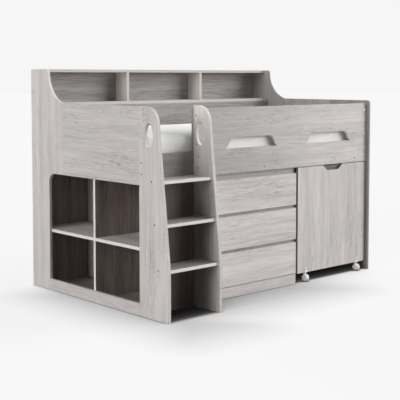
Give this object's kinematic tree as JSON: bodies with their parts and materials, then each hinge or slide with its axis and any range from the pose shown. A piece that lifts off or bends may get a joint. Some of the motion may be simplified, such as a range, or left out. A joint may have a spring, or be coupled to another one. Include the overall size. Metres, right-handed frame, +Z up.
{
  "type": "mid sleeper bed",
  "caption": "Mid-height single bed with ladder, cube store, drawer chest, pull-out desk on castors, guard boards and bookcase headboard along the back.",
  "frame": {"origin": "on the floor, in the middle of the whole object's length and depth", "axes": "+X along the bed to the right as seen from the front, +Y from the front to the back, +Z up"},
  "size_m": [1.98, 1.33, 1.37],
  "materials": {
    "oak_board": "grey oak foil on board, satin, with paler edge banding",
    "oak_back_board": "grey oak foil, satin",
    "drawer_board": "pale grey foil, satin",
    "pine_slat": "planed pine",
    "mattress_cover": "knitted ticking",
    "steel_fitting": "zinc plated",
    "bracket_metal": "white",
    "runner_plastic": "white",
    "castor_plastic": "white"
  },
  "bodies": {
    "bed_frame": {"left_back_post": "oak_board", "left_top_rail": "oak_board", "left_bottom_rail": "oak_board", "ladder_stile_left": "oak_board", "ladder_stile_right": "oak_board", "tread_bottom": "oak_board", "tread_middle": "oak_board", "tread_top": "oak_board", "right_back_post": "oak_board", "right_middle_panel": "oak_board", "right_front_post": "oak_board", "front_guard": "oak_board", "back_guard": "oak_board", "back_bottom_rail": "oak_board", "bookcase_top": "oak_board", "bookcase_shelf": "oak_board", "bookcase_back": "oak_back_board", "bookcase_dividers": "oak_board", "slat_battens": "pine_slat", "slats": "pine_slat", "mattress": "mattress_cover", "frame_screws": "steel_fitting", "store_side_front": "oak_board", "store_side_rear": "oak_board", "store_divider": "oak_board", "store_shelves": "oak_board", "store_top": "oak_board", "store_base": "oak_board", "store_back": "oak_back_board", "chest_sides": "oak_board", "chest_top": "oak_board", "chest_back": "oak_back_board", "chest_rails": "oak_board", "chest_plinth": "oak_board", "chest_runners": "runner_plastic"},
    "drawer_bottom": {"drawer_bottom_front": "oak_board", "drawer_bottom_box": "drawer_board", "drawer_bottom_base": "drawer_board"},
    "drawer_middle": {"drawer_middle_front": "oak_board", "drawer_middle_box": "drawer_board", "drawer_middle_base": "drawer_board"},
    "drawer_top": {"drawer_top_front": "oak_board", "drawer_top_box": "drawer_board", "drawer_top_base": "drawer_board"},
    "desk": {"desk_front": "oak_board", "desk_rear": "oak_board", "desk_top": "oak_board", "desk_stretcher": "oak_board", "castor_brackets": "bracket_metal"},
    "castor_swivel_1": {"castor_hood_1": "castor_plastic"},
    "castor_roll_1": {"castor_wheels_1": "castor_plastic"},
    "castor_swivel_2": {"castor_hood_2": "castor_plastic"},
    "castor_roll_2": {"castor_wheels_2": "castor_plastic"},
    "castor_swivel_3": {"castor_hood_3": "castor_plastic"},
    "castor_roll_3": {"castor_wheels_3": "castor_plastic"},
    "castor_swivel_4": {"castor_hood_4": "castor_plastic"},
    "castor_roll_4": {"castor_wheels_4": "castor_plastic"}
  },
  "joints": [
    {"name": "drawer_bottom_slide", "type": "slide", "parent": "bed_frame", "child": "drawer_bottom", "axis": [0, -1, 0], "range_m": [0, 0.33]},
    {"name": "drawer_middle_slide", "type": "slide", "parent": "bed_frame", "child": "drawer_middle", "axis": [0, -1, 0], "range_m": [0, 0.33]},
    {"name": "drawer_top_slide", "type": "slide", "parent": "bed_frame", "child": "drawer_top", "axis": [0, -1, 0], "range_m": [0, 0.33]},
    {"name": "desk_slide", "type": "slide", "parent": "bed_frame", "child": "desk", "axis": [0, -1, 0], "range_m": [0, 0.8]},
    {"name": "castor_1_swivel", "type": "hinge", "parent": "desk", "child": "castor_swivel_1", "pos_m": [0.361, -0.431, 0.054], "axis": [0, 0, 1], "continuous": true},
    {"name": "castor_1_spin", "type": "hinge", "parent": "castor_swivel_1", "child": "castor_roll_1", "pos_m": [0.361, -0.443, 0.02468], "axis": [1, 0, 0], "continuous": true},
    {"name": "castor_2_swivel", "type": "hinge", "parent": "desk", "child": "castor_swivel_2", "pos_m": [0.881, -0.431, 0.054], "axis": [0, 0, 1], "continuous": true},
    {"name": "castor_2_spin", "type": "hinge", "parent": "castor_swivel_2", "child": "castor_roll_2", "pos_m": [0.881, -0.443, 0.02468], "axis": [1, 0, 0], "continuous": true},
    {"name": "castor_3_swivel", "type": "hinge", "parent": "desk", "child": "castor_swivel_3", "pos_m": [0.361, 0.441, 0.054], "axis": [0, 0, 1], "continuous": true},
    {"name": "castor_3_spin", "type": "hinge", "parent": "castor_swivel_3", "child": "castor_roll_3", "pos_m": [0.361, 0.453, 0.02468], "axis": [1, 0, 0], "continuous": true},
    {"name": "castor_4_swivel", "type": "hinge", "parent": "desk", "child": "castor_swivel_4", "pos_m": [0.881, 0.441, 0.054], "axis": [0, 0, 1], "continuous": true},
    {"name": "castor_4_spin", "type": "hinge", "parent": "castor_swivel_4", "child": "castor_roll_4", "pos_m": [0.881, 0.453, 0.02468], "axis": [1, 0, 0], "continuous": true}
  ]
}
